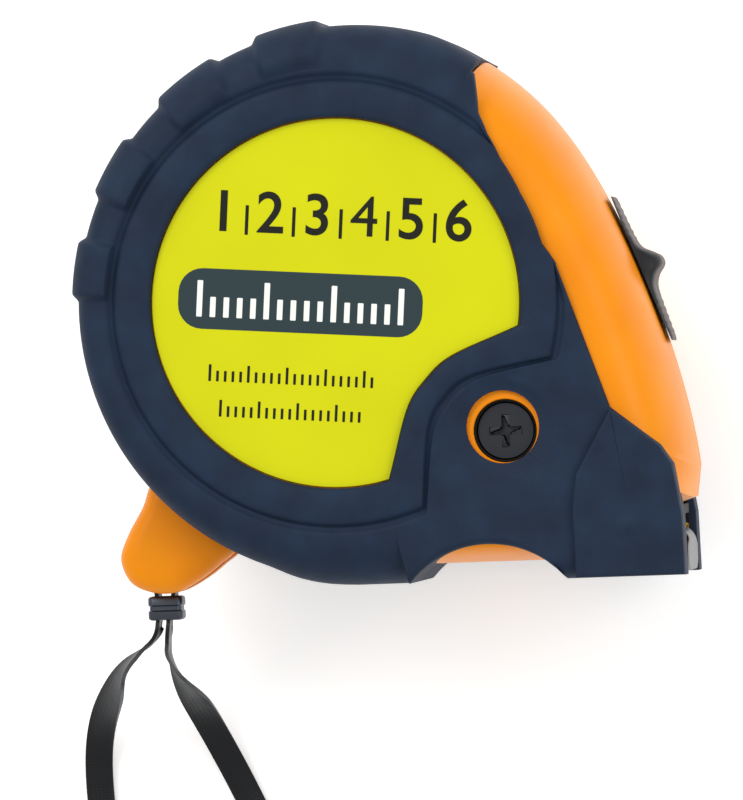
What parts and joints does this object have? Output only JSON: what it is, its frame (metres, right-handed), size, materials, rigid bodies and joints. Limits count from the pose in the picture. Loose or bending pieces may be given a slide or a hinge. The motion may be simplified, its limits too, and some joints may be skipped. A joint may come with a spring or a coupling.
{
  "type": "tape measure",
  "caption": "Pocket tape measure with rubber side grips, a sprung wide blade and loose hook, a sliding thumb lock, a belt clip and a ribbon wrist strap.",
  "frame": {"origin": "the middle of the footprint of the case and clip, on the ground that the belt clip lies on; the wrist strap is left out of it", "axes": "+X out of the blade's mouth, +Y to the top of the case as held, +Z along the reel's axis, out of the labelled right side"},
  "size_m": [0.0977, 0.187, 0.0536],
  "materials": {
    "case_abs": "orange moulded ABS, satin",
    "grip_rubber": "dark slate moulded rubber, matt",
    "label_film": "glossy printed film, yellow",
    "post_steel": "turned",
    "reel_plastic": "moulded acetal, off-white",
    "spring_steel": "blued spring strip",
    "blade_steel": "lacquered spring steel, yellow",
    "hook_plate": "dark nickel plate",
    "rivet_metal": "domed rivets",
    "soft_black": "black, matt",
    "lock_plastic": "black moulded plastic",
    "brake_rubber": "dense rubber, dark red",
    "screw_steel": "black oxide",
    "clip_steel": "plated spring steel",
    "pin_steel": "plain",
    "strap_ribbon": "black satin ribbon",
    "collar_metal": "dark crimped collar"
  },
  "bodies": {
    "case": {"casing_right": "case_abs", "casing_left": "case_abs", "grip_right": "grip_rubber", "grip_left": "grip_rubber", "label_right": "label_film", "label_left": "label_film", "centre_post": "post_steel", "blade_lead": "blade_steel", "mouth_bumper": "soft_black", "boss_screw": "screw_steel", "case_screws": "screw_steel", "post_screw": "screw_steel", "belt_clip": "clip_steel", "clip_screw": "screw_steel", "strap_pin": "pin_steel", "strap_fold": "strap_ribbon", "strap_collar": "collar_metal", "wrist_strap": "strap_ribbon"},
    "reel": {"reel_drum": "reel_plastic", "reel_cover": "reel_plastic", "power_spring": "spring_steel", "blade_coil": "blade_steel"},
    "blade": {"blade_tongue": "blade_steel", "hook_rivets": "rivet_metal"},
    "hook": {"end_hook": "hook_plate"},
    "lock": {"lock_button": "lock_plastic", "lock_leg": "lock_plastic", "brake_pad": "brake_rubber"}
  },
  "joints": [
    {"name": "reel_turn", "type": "hinge", "parent": "case", "child": "reel", "pos_m": [-0.00618, 0.00013, 0.0306], "axis": [0, 0, 1], "range_deg": [0, 86.4], "stiffness_Nm_per_rad": 0.05, "springref_deg": -28.65},
    {"name": "blade_slide", "type": "slide", "parent": "case", "child": "blade", "axis": [1, 0, 0], "range_m": [0, 0.043]},
    {"name": "hook_slide", "type": "slide", "parent": "blade", "child": "hook", "axis": [1, 0, 0], "range_m": [0, 0.001]},
    {"name": "lock_slide", "type": "slide", "parent": "case", "child": "lock", "axis": [0.3584, -0.9336, 0], "range_m": [0, 0.0055]}
  ],
  "couplings": [
    {"joint": "blade_slide", "follows": "reel_turn", "m_per_rad": 0.0285}
  ]
}
